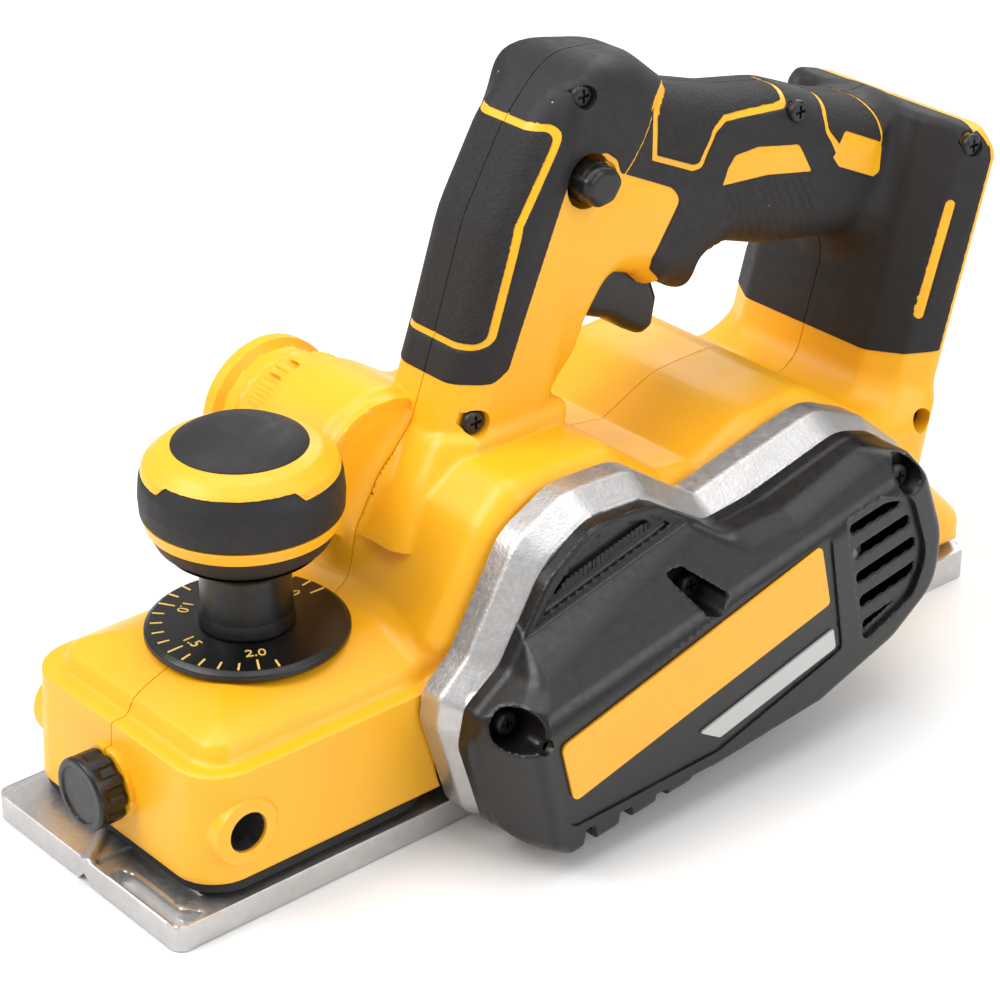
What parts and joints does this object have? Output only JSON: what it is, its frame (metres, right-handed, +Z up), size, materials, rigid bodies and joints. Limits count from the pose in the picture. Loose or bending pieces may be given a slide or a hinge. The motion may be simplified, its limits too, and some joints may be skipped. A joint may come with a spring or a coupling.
{
  "type": "electric hand planer",
  "caption": "Cordless electric hand planer: cutter drum and belt drive between two cast soles, round depth knob, looped rear handle with trigger and battery mount.",
  "frame": {"origin": "on the rear sole's flat underside, below the motor axis, at the middle of the sole's width", "axes": "+X the planing direction (front shoe), +Y the user's left (belt cover), +Z up"},
  "size_m": [0.2985, 0.137, 0.1906],
  "materials": {
    "cast_aluminium": "bead-blasted die casting, machined below",
    "yellow_plastic": "fine spark-eroded moulding",
    "soft_grip": "soft overmoulded elastomer, fine matt texture",
    "black_plastic": "glass-filled nylon moulding",
    "black_rubber": "matt rubber",
    "steel": "turned or rolled steel, lightly oiled",
    "carbide": "ground tungsten carbide",
    "copper_windings": "enamelled copper windings",
    "label_foil": "blank printed foil"
  },
  "bodies": {
    "planer_body": {"main_frame": "cast_aluminium", "housing_left": "yellow_plastic", "housing_right": "yellow_plastic", "handle_overmould_left": "soft_grip", "handle_overmould_right": "soft_grip", "belt_cover": "black_plastic", "drum_bearing_right": "steel", "drum_bearing_left": "steel", "motor_stator": "copper_windings", "motor_bearing_right": "steel", "motor_bearing_left": "steel", "motor_end_bracket": "cast_aluminium", "drive_belt": "black_rubber", "shoe_spring": "steel", "front_skirt": "black_rubber", "fence_rod_sleeve": "steel", "dust_port": "yellow_plastic", "trigger_pin": "steel", "power_switch": "black_plastic", "terminal_block": "black_plastic", "terminal_1": "steel", "terminal_2": "steel", "terminal_3": "steel", "terminal_4": "steel", "motor_controller": "black_plastic", "label_plate": "label_foil", "handle_screw_front": "steel", "handle_screw_grip": "steel", "column_screw_base": "steel", "mount_screw_top": "steel", "mount_screw_base": "steel", "cover_screw_front": "steel", "cover_screw_middle": "steel", "cover_screw_rear": "steel"},
    "depth_knob": {"depth_knob": "soft_grip", "depth_dial": "black_plastic", "depth_spindle": "steel"},
    "front_shoe": {"front_shoe": "cast_aluminium"},
    "drum": {"cutter_drum": "cast_aluminium", "blade_1": "carbide", "blade_2": "carbide", "blade_clamp_1": "steel", "blade_clamp_2": "steel", "drum_shaft": "steel", "drum_pulley": "steel", "drum_pulley_nut": "steel"},
    "rotor": {"motor_rotor": "steel", "motor_shaft": "steel", "cooling_fan": "black_plastic", "motor_pulley": "steel"},
    "trigger": {"trigger": "black_plastic"},
    "lock_off": {"lock_off_button": "black_plastic"},
    "thumb_screw": {"fence_thumb_screw": "black_plastic"}
  },
  "joints": [
    {"name": "depth_knob_turn", "type": "hinge", "parent": "planer_body", "child": "depth_knob", "pos_m": [0.155, 0, 0.056], "axis": [0, 0, 1], "range_deg": [-240, 0]},
    {"name": "front_shoe_lift", "type": "slide", "parent": "planer_body", "child": "front_shoe", "axis": [0, 0, 1], "range_m": [0, 0.002], "deforming": ["shoe_spring"]},
    {"name": "drum_spin", "type": "hinge", "parent": "planer_body", "child": "drum", "pos_m": [0.096, 0, 0.024], "axis": [0, 1, 0], "continuous": true},
    {"name": "motor_spin", "type": "hinge", "parent": "planer_body", "child": "rotor", "pos_m": [0, 0, 0.047], "axis": [0, 1, 0], "continuous": true},
    {"name": "trigger_pull", "type": "hinge", "parent": "planer_body", "child": "trigger", "pos_m": [0.044, 0, 0.121], "axis": [0, 1, 0], "range_deg": [0, 8], "stiffness_Nm_per_rad": 0.5},
    {"name": "lock_off_push", "type": "slide", "parent": "planer_body", "child": "lock_off", "axis": [0, 1, 0], "range_m": [-0.003, 0.003], "stiffness_N_per_m": 400},
    {"name": "fence_screw_turn", "type": "hinge", "parent": "planer_body", "child": "thumb_screw", "pos_m": [0.205, 0, 0.0268], "axis": [1, 0, 0], "range_deg": [0, 720]}
  ],
  "couplings": [
    {"joint": "front_shoe_lift", "follows": "depth_knob_turn", "m_per_rad": -0.00047746},
    {"joint": "motor_spin", "follows": "drum_spin", "ratio": 1.75}
  ]
}
